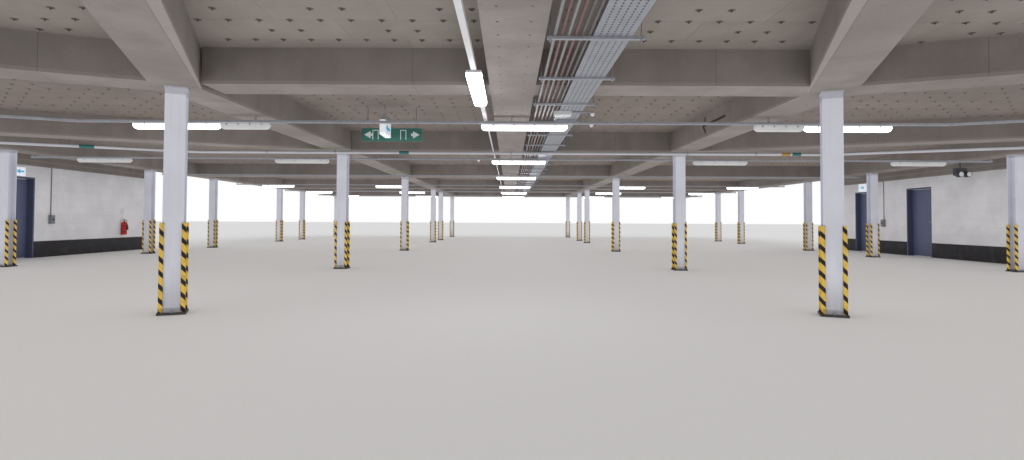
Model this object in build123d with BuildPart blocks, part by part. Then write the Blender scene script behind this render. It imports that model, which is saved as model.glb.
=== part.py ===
from build123d import *
import os
from itertools import accumulate
from math import atan2, cos, degrees, radians, sin, tan

# Covered car park deck: steel columns carry a grid of cased beams and a concrete slab. Two side walls with
# doors close part of the long sides, and lamps, trays and pipes hang just under the beams.
# The origin is at ground level in the middle of the footprint, X across the hall, Y along it, Z up.
# All lengths are in millimetres. A station is a distance along the hall from the front row of columns.

# Plan grid
grid = 7200                                        # spacing of the column lines across the hall
bay_lengths = [8600, 5800, 7200, 7200, 2900, 5800]  # column rows along the hall, from the front row
knee_shifts = {-1: (-140, -40), 1: (-10, 40)}      # x and station of the first inner columns off the grid
edge_bay_lengths = [4800, 4800, 4800, 4800, 3650]  # columns on the outer lines, up to the fifth row
end_overhang = 250                                 # slab beyond the centre of the first and last rows
side_overhang = 1900                               # slab beyond the centre of the outer column lines

# Heights and sections of the structure
beam_soffit = 2500
beam_depth = 400
beam_width = 500
slab_thickness = 250

# Columns: H-sections 203 by 203, with the plates they stand on and carry with
flange_width = 206
section_depth = 210
flange_thickness = 14
web_thickness = 9.5
root_cut = 10                                      # the root fillets, cut straight
base_plate_size = 280
base_plate_thickness = 25
head_plate_size = 220
head_plate_thickness = 20

# Foam guards pushed onto the flange tips
guard_width = 60
guard_depth = 50
guard_chamfer = 14
guard_grip = 25                                    # how far the flange reaches into the guard
guard_clearance = 0.3
guard_top = 1000

# Side walls and their doors
wall_thickness = 200
leaf_width = 950
leaf_height = 2040
leaf_thickness = 45
leaf_gap = 7
threshold_gap = 10
jamb_width = 45
left_wall_start, left_wall_end = 14400, 21600
right_wall_start, right_wall_end = 14400, 24000
left_door_station = 16600
right_near_door_station = 19650
right_far_door_station = 22300
wall_beam_width = 200                              # beams along the heads of both side walls
wall_beam_gap = 13                                 # between the sign over a door and the beam over it
lever_height = 1050
lever_length = 130
lever_diameter = 20
lever_stand_off = 50
lever_backset = 70
rose_diameter = 54
rose_thickness = 8
hinge_heights = [230, 1030, 1830]
hinge_half_height = 50
hinge_knuckle_radius = 7
hinge_plate_thickness = 3
hinge_plate_width = 35
hinge_clearance = 0.3
hinge_face_gap = 1                                 # between a knuckle and the face of the leaf

# Rods, pins and slim pipes are drawn with few sides, so that the many of them stay light
rod_sides = 6
ring_sides = 12
round_sides = 24

# Cable tray and pipes beside the middle beam, on trapeze hangers
services_gap = 5                                   # free height between the services and the beams
tray_width = 300
tray_height = 40
tray_sheet = 2
tray_x = 755
pipe_count = 6
pipe_diameter = 25
pipe_pitch = 52
first_pipe_x = 315
channel_width = 41
channel_height = 21
channel_length = 750
channel_x = 630
rod_diameter = 10
rod_inset = 25
trapeze_first = 400
trapeze_pitch = 1240
trapeze_count = 30
services_end_gap = 300

# Lamps and the trunking that carries them
lamp_first = 10200
lamp_pitch = 4800
lamp_rows = 6
lamp_length = 1200
short_lamp_length = 680                            # unlit lamps beside the first inner ones
short_lamp_gap = 20
lamp_width = 90
lamp_body_height = 25
lamp_corner = 18
diffuser_height = 70
diffuser_bevel = 26
lamp_middle_x = 175
lamp_inner_x = 4700
lamp_outer_x = 9150
trunking_width = 50
trunking_height = 35
trunking_gap = 4                                   # free height between the trunking and the trapezes
trunking_bend_x = 6100
hanger_size = 20

# Trunking, lamp and conduit along the left side of the middle beam
aisle_x = -370
aisle_trunking_height = 50
aisle_trunking_end = 10400
aisle_lamp_start, aisle_lamp_end = 7550, 8850
aisle_lamp_width = 150
conduit_diameter = 25

# Pipe across the hall in front of the second row
cross_pipe_diameter = 65
cross_pipe_station = 13850
cross_pipe_bend_x = 6400
cross_pipe_bend_radius = 200
cross_pipe_gap = 3
clip_band = 3
clip_width = 25
clip_rod_diameter = 12
clip_raked_x = 5000
clip_clearance = 0.3

# Signs, safety equipment and small boxes
sign_box_size = (85, 440, 230)
sign_box_gear_size = (70, 380, 90)                 # tray on top of the sign box
sign_box_place = (-2020, 11310)
sign_box_rod = 200
sign_board_size = (990, 20, 215)
sign_board_place = (-1985, 11650)
sign_board_rod = 340
sign_board_rod_spread = 400
sign_rod_diameter = 12
wall_sign_size = (60, 450, 270)
left_wall_sign_size = (60, 320, 220)
wall_sign_gap = 15                                 # over the door frame
extinguisher_station = 20500
extinguisher_radius = 75
extinguisher_height = 420
extinguisher_neck_radius = 22
extinguisher_valve_height = 70
extinguisher_bottom = 520
small_box_size = (80, 130, 230)
small_box_bottom = 890
switch_box_station = 17650
call_point_station = 21250
wall_conduit_diameter = 20
spot_station = 15900
spot_stem_diameter = 25
spot_stem_length = 150
spot_body_size = (260, 100, 180)
spot_head_radius = 70
spot_head_length = 110
spot_head_spread = 95
spot_head_rise = 20                                # of the heads' middle over the underside of the body

# Worked out from the sizes above
inner_x = grid / 2
outer_x = grid * 1.5
rows = [0] + list(accumulate(bay_lengths))
hall_length = rows[-1]
edge_rows = [0] + list(accumulate(edge_bay_lengths)) + rows[4:]
slab_soffit = beam_soffit + beam_depth
deck_half_width = outer_x + side_overhang
column_height = beam_soffit - base_plate_thickness - head_plate_thickness
half_beam = beam_width / 2
knees = {side: (side * inner_x + x, rows[1] + station) for side, (x, station) in knee_shifts.items()}
# turn of the front beams out of the grid, left and right
rakes = {side: degrees(atan2(side * x, station)) for side, (x, station) in knees.items()}
wall_face = deck_half_width - wall_thickness
opening_width = leaf_width + 2 * (leaf_gap + jamb_width)
opening_height = threshold_gap + leaf_height + leaf_gap + jamb_width
hinge_x = deck_half_width + hinge_knuckle_radius + hinge_face_gap
wall_beam_soffit = opening_height + wall_sign_gap + wall_sign_size[2] + wall_beam_gap
right_doors = [right_near_door_station, right_far_door_station]
services_top = beam_soffit - services_gap
services_bottom = services_top - tray_height
channel_bottom = services_bottom - channel_height
trunking_top = channel_bottom - trunking_gap
trunking_bottom = trunking_top - trunking_height
lamp_bottom = trunking_bottom - lamp_body_height


def along(station):
    """Turns a station along the hall into a Y coordinate."""
    return station - hall_length / 2


def export(builder, name):
    """Labels a finished piece and writes its STEP file."""
    builder.part.label = name
    export_step(builder.part, f"parts/{name}.step")


# Column places as (x, station, turn): the two columns of the first row follow the front beams.
inner_places = [(0, 0, 0)]
for side in (-1, 1):
    inner_places.append((*knees[side], -side * rakes[side]))
    inner_places += [(side * inner_x, row, 0) for row in rows[2:]]
outer_places = [(side * outer_x, row, 0) for side in (-1, 1) for row in edge_rows]
all_places = inner_places + outer_places


def locations(places):
    """Plan locations of a list of (x, station, turn) places."""
    return [Location((x, along(station), 0), (0, 0, turn)) for x, station, turn in places]


def column_section():
    """Profile of one H-section, with its root fillets cut straight."""
    with BuildSketch() as section:
        Rectangle(flange_width, section_depth)
        recess = (flange_width - web_thickness) / 2
        with Locations((-(web_thickness + recess) / 2, 0), ((web_thickness + recess) / 2, 0)):
            Rectangle(recess, section_depth - 2 * flange_thickness, mode=Mode.SUBTRACT)
        roots = [v for v in section.vertices() if abs(v.X) < flange_width / 4]
        chamfer(roots, root_cut)
    return section.sketch


def guard_section():
    """Profiles of the four guards round one column."""
    tip_x = flange_width / 2
    tip_y = (section_depth - flange_thickness) / 2
    centre_x = tip_x - guard_grip + guard_width / 2
    slot = guard_grip + guard_clearance
    with BuildSketch() as section:
        with Locations(*[(i * centre_x, j * tip_y) for i in (-1, 1) for j in (-1, 1)]):
            Rectangle(guard_width, guard_depth)
        chamfer([v for v in section.vertices() if abs(v.X) > tip_x], guard_chamfer)
        with Locations(*[(i * (tip_x - guard_grip + slot / 2), j * tip_y) for i in (-1, 1) for j in (-1, 1)]):
            Rectangle(slot, flange_thickness + 2 * guard_clearance, mode=Mode.SUBTRACT)
    return section.sketch


def build_columns(places):
    """Columns at the places given, from base plate to head plate."""
    with BuildPart() as columns:
        with BuildSketch(Plane.XY.offset(base_plate_thickness)):
            with Locations(*locations(places)):
                add(column_section())
        extrude(amount=column_height)
    return columns


def build_plates():
    """Base and head plates of all columns."""
    with BuildPart() as plates:
        with BuildSketch():
            with Locations(*locations(all_places)):
                Rectangle(base_plate_size, base_plate_size)
        extrude(amount=base_plate_thickness)
        with BuildSketch(Plane.XY.offset(beam_soffit - head_plate_thickness)):
            with Locations(*locations(all_places)):
                Rectangle(head_plate_size, head_plate_size)
        extrude(amount=head_plate_thickness)
    return plates


def build_guards():
    """Foam guards on the flange tips of all columns, standing on the base plates."""
    with BuildPart() as guards:
        with BuildSketch(Plane.XY.offset(base_plate_thickness)):
            with Locations(*locations(all_places)):
                add(guard_section())
        extrude(amount=guard_top - base_plate_thickness)
    return guards


def box_between(x_range, station_range, z_range):
    """Solid block given by its ranges, added to the current part."""
    with BuildSketch(Plane.XY.offset(z_range[0])) as outline:
        with Locations(((x_range[0] + x_range[1]) / 2, along(sum(station_range) / 2))):
            Rectangle(abs(x_range[1] - x_range[0]), abs(station_range[1] - station_range[0]))
    extrude(outline.sketch, amount=z_range[1] - z_range[0])


beam_z = (beam_soffit, slab_soffit)


def build_end_beams():
    """Front and rear beams, right across between the outer column lines."""
    with BuildPart() as beams:
        for row in (rows[0], rows[-1]):
            box_between((-outer_x - half_beam, outer_x + half_beam), (row - half_beam, row + half_beam), beam_z)
    return beams


def build_edge_beams():
    """Beams over the two outer column lines, and the deeper ones along the heads of the side walls."""
    walls = {-1: (left_wall_start, left_wall_end), 1: (right_wall_start, right_wall_end)}
    with BuildPart() as beams:
        for side, span in walls.items():
            x = side * outer_x
            box_between((x - half_beam, x + half_beam), (half_beam, hall_length - half_beam), beam_z)
            box_between((side * (wall_face - wall_beam_width), side * wall_face), span,
                        (wall_beam_soffit, slab_soffit))
    return beams


def build_spine_beam():
    """Middle beam, from the front beam to the rear beam."""
    with BuildPart() as beam:
        box_between((-half_beam, half_beam), (half_beam, hall_length - half_beam), beam_z)
    return beam


def moved_path(path, offset):
    """Points of a path moved sideways by an offset, with mitred turns."""
    ways = [(far - near).normalized() for near, far in zip(path, path[1:])]
    normals = [Vector(-way.Y, way.X) for way in ways]
    pairs = zip(path, normals[:1] + normals, normals + normals[-1:])
    return [point + (before + after) * (offset / (1 + before.dot(after))) for point, before, after in pairs]


def build_line_beam(side):
    """Beam over an inner column line. At the first row it turns towards the front column, with a mitre."""
    stops = [(0, 0), knees[side], (side * inner_x, rows[2]), (side * inner_x, hall_length - half_beam)]
    path = [Vector(x, along(station)) for x, station in stops]
    with BuildPart() as beam:
        with BuildSketch(Plane.XY.offset(beam_soffit)):
            with BuildLine():
                Polyline(*moved_path(path, half_beam), *reversed(moved_path(path, -half_beam)), close=True)
            make_face()
            with Locations((0, along(0))):
                Rectangle(beam_width, 2 * hall_length, mode=Mode.SUBTRACT)
                Rectangle(2 * outer_x, beam_width, mode=Mode.SUBTRACT)
                with Locations((-side * half_beam, 0)):
                    Rectangle(outer_x, 2 * hall_length, align=(side_align(-side), Align.CENTER),
                              mode=Mode.SUBTRACT)
        extrude(amount=beam_depth)
    return beam


def side_align(side):
    """Alignment that puts a shape on the side given of its place."""
    return Align.MIN if side > 0 else Align.MAX


def build_cross_beams():
    """Straight beams of the rows between the middle, inner and outer lines, cut where the line beams turn."""
    with BuildPart() as beams:
        for side in (-1, 1):
            for row in rows[1:-1]:
                span = (row - half_beam, row + half_beam)
                box_between((side * half_beam, side * (inner_x - half_beam)), span, beam_z)
            for row in rows[3:-1]:
                span = (row - half_beam, row + half_beam)
                box_between((side * (inner_x + half_beam), side * (outer_x - half_beam)), span, beam_z)
        add(left_line_beam.part, mode=Mode.SUBTRACT)
        add(right_line_beam.part, mode=Mode.SUBTRACT)
    return beams


def build_raked_beams():
    """Beams of the first two rows in the outer aisles, square to the turned front beams."""
    with BuildPart() as beams:
        with BuildSketch(Plane.XY.offset(beam_soffit)):
            for side in (-1, 1):
                reach = (outer_x - inner_x) / cos(radians(rakes[side])) + beam_width
                for x, station in (knees[side], (side * inner_x, rows[2])):
                    with Locations(Location((x, along(station), 0), (0, 0, -side * rakes[side]))):
                        Rectangle(reach, beam_width, align=(side_align(side), Align.CENTER))
                with Locations((side * (outer_x - half_beam), 0)):
                    Rectangle(2 * beam_width, 2 * hall_length, align=(side_align(side), Align.CENTER),
                              mode=Mode.SUBTRACT)
        extrude(amount=beam_depth)
        add(left_line_beam.part, mode=Mode.SUBTRACT)
        add(right_line_beam.part, mode=Mode.SUBTRACT)
    return beams


def build_deck_slab(number):
    """One casting bay of the slab, from row to row and over the end overhangs."""
    start = rows[number] - (end_overhang if number == 0 else 0)
    end = rows[number + 1] + (end_overhang if number == len(bay_lengths) - 1 else 0)
    with BuildPart() as slab:
        box_between((-deck_half_width, deck_half_width), (start, end),
                    (slab_soffit, slab_soffit + slab_thickness))
    return slab


def build_wall(side, start, end, doors):
    """Wall between and beside its doorways, as separate piers up to the slab."""
    cuts = [start]
    for door in doors:
        cuts += [door - opening_width / 2, door + opening_width / 2]
    cuts.append(end)
    with BuildPart() as wall:
        for near, far in zip(cuts[::2], cuts[1::2]):
            box_between((side * wall_face, side * deck_half_width), (near, far), (0, slab_soffit))
    return wall


def build_lintels(side, doors):
    """Wall over the doorways."""
    with BuildPart() as lintels:
        for door in doors:
            box_between((side * wall_face, side * deck_half_width),
                        (door - opening_width / 2, door + opening_width / 2), (opening_height, slab_soffit))
    return lintels


doors = [(-1, left_door_station)] + [(1, station) for station in right_doors]


def build_door_jambs():
    """Upright frame members at both sides of each doorway."""
    with BuildPart() as jambs:
        for side, door in doors:
            for edge in (-1, 1):
                outer = door + edge * opening_width / 2
                box_between((side * wall_face, side * deck_half_width), (outer, outer - edge * jamb_width),
                            (0, opening_height - jamb_width))
    return jambs


def build_door_heads():
    """Frame member across the top of each doorway."""
    with BuildPart() as heads:
        for side, door in doors:
            box_between((side * wall_face, side * deck_half_width),
                        (door - opening_width / 2, door + opening_width / 2),
                        (opening_height - jamb_width, opening_height))
    return heads


def hinge_station(door):
    """Station of the hinge line, in the gap at the far edge of the leaf."""
    return door + leaf_width / 2 + leaf_gap / 2


def hinge_half(side, door, bottom, towards):
    """Half a lift-off hinge on the outer face: its knuckle, and its plate on the leaf or on the jamb."""
    line = hinge_station(door)
    with BuildSketch(Plane.XY.offset(bottom)) as outline:
        with Locations((side * hinge_x, along(line))):
            RegularPolygon(hinge_knuckle_radius, rod_sides)
        plate_x = side * (deck_half_width + hinge_plate_thickness / 2)
        plate_y = along(line + towards * hinge_plate_width / 2)
        with Locations((plate_x, plate_y)):
            Rectangle(hinge_plate_thickness, hinge_plate_width)
    extrude(outline.sketch, amount=hinge_half_height)


def build_frame_hinges():
    """Lower hinge halves, on the jambs of all doors."""
    with BuildPart() as hinges:
        for side, door in doors:
            for height in hinge_heights:
                hinge_half(side, door, height - hinge_half_height - hinge_clearance, 1)
    return hinges


def build_door_leaf(side, door):
    """Flush door leaf with its upper hinge halves, level with the wall's outer face so it swings outward."""
    with BuildPart() as leaf:
        box_between((side * (deck_half_width - leaf_thickness), side * deck_half_width),
                    (door - leaf_width / 2, door + leaf_width / 2),
                    (threshold_gap, threshold_gap + leaf_height))
        for height in hinge_heights:
            hinge_half(side, door, height, -1)
    return leaf


def build_door_lever(side, door):
    """Lever and rose on the hall side of a leaf, at the edge away from the hinges."""
    face = side * (deck_half_width - leaf_thickness)
    station = door - leaf_width / 2 + lever_backset
    with BuildPart() as lever:
        with BuildSketch(Plane((face, along(station), lever_height), z_dir=(-side, 0, 0))):
            RegularPolygon(rose_diameter / 2, ring_sides)
        extrude(amount=rose_thickness)
        with BuildSketch(Plane((face, along(station), lever_height), z_dir=(-side, 0, 0))):
            RegularPolygon(lever_diameter / 2, rod_sides, major_radius=False)
        extrude(amount=lever_stand_off)
        bar_x = face - side * (lever_stand_off - lever_diameter / 2)
        with BuildSketch(Plane((bar_x, along(station - lever_diameter / 2), lever_height), z_dir=(0, 1, 0))):
            RegularPolygon(lever_diameter / 2, rod_sides, major_radius=False)
        extrude(amount=lever_length)
    return lever


def build_cable_tray():
    """Sheet tray with upturned edges, along the hall."""
    length = hall_length - 2 * services_end_gap
    with BuildPart() as tray:
        with BuildSketch(Plane((tray_x, along(services_end_gap), services_bottom), x_dir=(1, 0, 0),
                               z_dir=(0, -1, 0))):
            Rectangle(tray_width, tray_height, align=(Align.CENTER, Align.MIN))
            with Locations((0, tray_sheet)):
                Rectangle(tray_width - 2 * tray_sheet, tray_height, align=(Align.CENTER, Align.MIN),
                          mode=Mode.SUBTRACT)
        extrude(amount=-length)
    return tray


def build_service_pipes():
    """Row of thin pipes lying on the trapezes beside the tray."""
    length = hall_length - 2 * services_end_gap
    with BuildPart() as pipes:
        with BuildSketch(Plane((first_pipe_x, along(services_end_gap), services_bottom), x_dir=(1, 0, 0),
                               z_dir=(0, -1, 0))):
            with Locations(*[(number * pipe_pitch, pipe_diameter / 2) for number in range(pipe_count)]):
                RegularPolygon(pipe_diameter / 2, ring_sides, rotation=180 / ring_sides)
        extrude(amount=-length)
    return pipes


trapeze_stations = [trapeze_first + number * trapeze_pitch for number in range(trapeze_count)]


def under_beam(x, station):
    """True where a place beside the middle beam lies below a row beam or a turned front beam."""
    reach = half_beam + rod_diameter / 2
    below_row = any(abs(station - row) < reach for row in rows)
    rake = radians(rakes[1])
    return below_row or (station < rows[1] and abs(x - station * tan(rake)) < reach / cos(rake))


def build_trapeze_channels():
    """Cross channels of the trapezes."""
    with BuildPart() as channels:
        for station in trapeze_stations:
            box_between((channel_x - channel_length / 2, channel_x + channel_length / 2),
                        (station - channel_width / 2, station + channel_width / 2),
                        (channel_bottom, services_bottom))
    return channels


def build_trapeze_rods():
    """Hanger rods from the slab, or from a beam where one is above, to both ends of each channel."""
    with BuildPart() as rods:
        for station in trapeze_stations:
            for edge in (-1, 1):
                x = channel_x + edge * (channel_length / 2 - rod_inset)
                top = beam_soffit if under_beam(x, station) else slab_soffit
                with BuildSketch(Plane.XY.offset(services_bottom)):
                    with Locations((x, along(station))):
                        RegularPolygon(rod_diameter / 2, rod_sides)
                extrude(amount=top - services_bottom)
    return rods


lamp_stations = [lamp_first + number * lamp_pitch for number in range(lamp_rows)]
drops = {side: tan(radians(rake)) * (outer_x - trunking_bend_x) for side, rake in rakes.items()}


def trunking_ends(number):
    """Stations of the left and the right end of one run of trunking."""
    return [lamp_stations[number] - (drops[side] if number == 0 else 0) for side in (-1, 1)]


def build_lamp_trunking():
    """Trunking across the hall above each row of lamps. The first one turns with the beams in the aisles."""
    with BuildPart() as trunking:
        for number, station in enumerate(lamp_stations):
            left_end, right_end = trunking_ends(number)
            with BuildSketch(Plane.XY.offset(trunking_bottom)):
                with BuildLine():
                    front = [(-outer_x, left_end), (-trunking_bend_x, station),
                             (trunking_bend_x, station), (outer_x, right_end)]
                    points = [(x, along(y) - trunking_width / 2) for x, y in front]
                    points += [(x, along(y) + trunking_width / 2) for x, y in reversed(front)]
                    Polyline(*points, close=True)
                make_face()
            extrude(amount=trunking_height)
    return trunking


def build_trunking_hangers():
    """Short hangers between the lamp trunking and the beams over it."""
    with BuildPart() as hangers:
        for number, station in enumerate(lamp_stations):
            left_end, right_end = trunking_ends(number)
            places = [(0, station), (-inner_x, station), (inner_x, station),
                      (-outer_x + hanger_size, left_end), (outer_x - hanger_size, right_end)]
            with BuildSketch(Plane.XY.offset(trunking_top)):
                with Locations(*[(x, along(y)) for x, y in places]):
                    Rectangle(hanger_size, hanger_size)
            extrude(amount=beam_soffit - trunking_top)
    return hangers


# Lamps as (x, station). Of each row some are lit and some are off.
lit_lamps = [(lamp_middle_x, station) for station in lamp_stations]
unlit_lamps = []
short_lamp_x = lamp_inner_x - (lamp_length + short_lamp_length) / 2 - short_lamp_gap
short_lamps = [(side * short_lamp_x, lamp_stations[0]) for side in (-1, 1)]
for side in (-1, 1):
    lit_lamps += [(side * lamp_inner_x, lamp_stations[number]) for number in (0, 3, 4, 5)]
    lit_lamps += [(side * lamp_outer_x, lamp_stations[number]) for number in (3, 4, 5)]
    unlit_lamps += [(side * lamp_inner_x, lamp_stations[1]), (side * lamp_outer_x, lamp_stations[1])]


aisle_lamp_top = beam_soffit - aisle_trunking_height
aisle_lamp_place = Location((aisle_x, along((aisle_lamp_start + aisle_lamp_end) / 2), 0), (0, 0, 90))


def lamp_plates(places, length, width, top, height):
    """One plate with cut corners at each lamp place."""
    with BuildSketch(Plane.XY.offset(top - height)) as outline:
        with Locations(*places):
            Rectangle(length, width)
        chamfer(outline.vertices(), lamp_corner)
    extrude(outline.sketch, amount=height)


def diffuser_plates(part, places, length, width, top):
    """One diffuser at each lamp place, with its lower edges bevelled."""
    lamp_plates(places, length, width, top, diffuser_height)
    chamfer(part.edges(Select.LAST).group_by(Axis.Z)[0], diffuser_bevel)


def lamp_locations(lamps):
    """Plan locations of a list of (x, station) lamps."""
    return [Location((x, along(station), 0)) for x, station in lamps]


def build_lamp_bodies():
    """Shallow bodies of all lamps, screwed under the trunking, and of the lamp along the aisle."""
    with BuildPart() as bodies:
        lamp_plates(lamp_locations(lit_lamps + unlit_lamps), lamp_length, lamp_width, trunking_bottom,
                    lamp_body_height)
        lamp_plates(lamp_locations(short_lamps), short_lamp_length, lamp_width, trunking_bottom,
                    lamp_body_height)
        lamp_plates([aisle_lamp_place], aisle_lamp_end - aisle_lamp_start, aisle_lamp_width, aisle_lamp_top,
                    lamp_body_height)
    return bodies


def build_lit_diffusers():
    """Diffusers of the lamps that are on, with the long one over the aisle."""
    with BuildPart() as diffusers:
        diffuser_plates(diffusers, lamp_locations(lit_lamps), lamp_length, lamp_width, lamp_bottom)
        diffuser_plates(diffusers, [aisle_lamp_place], aisle_lamp_end - aisle_lamp_start, aisle_lamp_width,
                        aisle_lamp_top - lamp_body_height)
    return diffusers


def build_unlit_diffusers():
    """Diffusers of the lamps that are off."""
    with BuildPart() as diffusers:
        diffuser_plates(diffusers, lamp_locations(unlit_lamps), lamp_length, lamp_width, lamp_bottom)
        diffuser_plates(diffusers, lamp_locations(short_lamps), short_lamp_length, lamp_width, lamp_bottom)
    return diffusers


def build_aisle_trunking():
    """Trunking along the left of the middle beam, and the conduit that carries on from its end."""
    with BuildPart() as trunking:
        box_between((aisle_x - trunking_width / 2, aisle_x + trunking_width / 2),
                    (services_end_gap, aisle_trunking_end),
                    (beam_soffit - aisle_trunking_height, beam_soffit))
        with BuildSketch(Plane((aisle_x, along(aisle_trunking_end), beam_soffit - conduit_diameter / 2),
                               z_dir=(0, 1, 0))):
            Circle(conduit_diameter / 2)
        extrude(amount=hall_length - services_end_gap - aisle_trunking_end)
    return trunking


cross_pipe_z = services_bottom - cross_pipe_gap - cross_pipe_diameter / 2
pipe_drops = {side: tan(radians(rake)) * (outer_x - cross_pipe_bend_x) for side, rake in rakes.items()}


def build_cross_pipe():
    """Pipe across the hall, bent towards the front in the outer aisles."""
    left_end, right_end = [along(cross_pipe_station - pipe_drops[side]) for side in (-1, 1)]
    left_rake = radians(rakes[-1])
    with BuildPart() as pipe:
        with BuildLine(Plane.XY.offset(cross_pipe_z)):
            FilletPolyline((-outer_x, left_end), (-cross_pipe_bend_x, along(cross_pipe_station)),
                           (cross_pipe_bend_x, along(cross_pipe_station)), (outer_x, right_end),
                           radius=cross_pipe_bend_radius)
        with BuildSketch(Plane((-outer_x, left_end, cross_pipe_z), z_dir=(cos(left_rake), sin(left_rake), 0))):
            RegularPolygon(cross_pipe_diameter / 2, ring_sides, major_radius=False)
        sweep()
    return pipe


def build_pipe_clips():
    """Rings round the cross pipe, each on a rod from the beam above it."""
    near_end = outer_x - half_beam / 2
    places = [(0, cross_pipe_station, 0)]
    for side, rake in rakes.items():
        end_station = cross_pipe_station - tan(radians(rake)) * (near_end - cross_pipe_bend_x)
        places += [(side * inner_x, cross_pipe_station, 0), (side * clip_raked_x, cross_pipe_station, 0),
                   (side * near_end, end_station, -side * rake)]
    inner = cross_pipe_diameter / 2 + clip_clearance
    with BuildPart() as clips:
        for x, station, turn in places:
            across = Vector(cos(radians(turn)), sin(radians(turn)), 0)
            centre = Vector(x, along(station), cross_pipe_z)
            with BuildSketch(Plane(centre - across * (clip_width / 2), z_dir=across)):
                RegularPolygon(inner + clip_band, ring_sides, major_radius=False)
                RegularPolygon(inner, ring_sides, major_radius=False, mode=Mode.SUBTRACT)
            extrude(amount=clip_width)
            with BuildSketch(Plane.XY.offset(cross_pipe_z + inner + clip_band / 2)):
                with Locations((x, along(station))):
                    RegularPolygon(clip_rod_diameter / 2, rod_sides)
            extrude(amount=beam_soffit - cross_pipe_z - inner - clip_band / 2)
    return clips


def build_sign_box():
    """Two-sided sign box under its gear tray, on a rod from the slab."""
    x, station = sign_box_place
    top = slab_soffit - sign_box_rod
    level = top
    with BuildPart() as box:
        for width, depth, height in (sign_box_gear_size, sign_box_size):
            box_between((x - width / 2, x + width / 2), (station - depth / 2, station + depth / 2),
                        (level - height, level))
            level -= height
        with BuildSketch(Plane.XY.offset(top)):
            with Locations((x, along(station))):
                RegularPolygon(sign_rod_diameter / 2, rod_sides)
        extrude(amount=sign_box_rod)
    return box


def build_sign_board():
    """Direction sign board on two rods from the slab."""
    x, station = sign_board_place
    width, depth, height = sign_board_size
    top = slab_soffit - sign_board_rod
    with BuildPart() as board:
        box_between((x - width / 2, x + width / 2), (station - depth / 2, station + depth / 2),
                    (top - height, top))
        with BuildSketch(Plane.XY.offset(top)):
            with Locations(*[(x + side * sign_board_rod_spread, along(station)) for side in (-1, 1)]):
                RegularPolygon(sign_rod_diameter / 2, rod_sides)
        extrude(amount=sign_board_rod)
    return board


def build_wall_sign():
    """Sign boxes on the walls, over the left door and the far right door."""
    bottom = opening_height + wall_sign_gap
    with BuildPart() as sign:
        for side, door, size in ((-1, left_door_station, left_wall_sign_size),
                                 (1, right_far_door_station, wall_sign_size)):
            depth, width, height = size
            box_between((side * (wall_face - depth), side * wall_face), (door - width / 2, door + width / 2),
                        (bottom, bottom + height))
    return sign


def build_extinguisher():
    """Extinguisher on the left wall: body, shoulder at 45 degrees, neck and valve."""
    shoulder = extinguisher_radius - extinguisher_neck_radius
    shoulder_bottom = extinguisher_bottom + extinguisher_height - shoulder
    with BuildPart() as extinguisher:
        for bottom, radius, height, taper in (
                (extinguisher_bottom, extinguisher_radius, extinguisher_height - shoulder, 0),
                (shoulder_bottom, extinguisher_radius, shoulder, 45),
                (shoulder_bottom + shoulder, extinguisher_neck_radius, extinguisher_valve_height, 0)):
            with BuildSketch(Plane.XY.offset(bottom)) as outline:
                with Locations((-wall_face + extinguisher_radius, along(extinguisher_station))):
                    RegularPolygon(radius, round_sides, major_radius=False, rotation=180 / round_sides)
            extrude(outline.sketch, amount=height, taper=taper)
    return extinguisher


def build_wall_boxes():
    """Switch box and call point on the walls, each with its conduit up to the beam over it."""
    depth, width, height = small_box_size
    top = small_box_bottom + height
    radius = wall_conduit_diameter / 2
    with BuildPart() as boxes:
        for side, station in ((-1, switch_box_station), (1, call_point_station)):
            box_between((side * (wall_face - depth), side * wall_face),
                        (station - width / 2, station + width / 2), (small_box_bottom, top))
            with BuildSketch(Plane.XY.offset(top)):
                with Locations((side * (wall_face - radius), along(station))):
                    RegularPolygon(radius, rod_sides, major_radius=False, rotation=180 / rod_sides)
            extrude(amount=wall_beam_soffit - top)
    return boxes


def build_twin_spot():
    """Emergency light under the right edge beam: stem, body and two round heads."""
    width, length, height = spot_body_size
    body_top = beam_soffit - spot_stem_length
    head_z = body_top - height + spot_head_rise
    with BuildPart() as spot:
        with BuildSketch(Plane.XY.offset(body_top)):
            with Locations((outer_x, along(spot_station))):
                RegularPolygon(spot_stem_diameter / 2, rod_sides)
        extrude(amount=spot_stem_length)
        box_between((outer_x - width / 2, outer_x + width / 2),
                    (spot_station - length / 2, spot_station + length / 2), (body_top - height, body_top))
        for edge in (-1, 1):
            head = (outer_x + edge * spot_head_spread, along(spot_station - length / 2), head_z)
            with BuildSketch(Plane(head, z_dir=(0, -1, 0))):
                RegularPolygon(spot_head_radius, ring_sides)
            extrude(amount=spot_head_length)
    return spot


os.makedirs("parts", exist_ok=True)

left_line_beam = build_line_beam(-1)
right_line_beam = build_line_beam(1)

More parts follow.
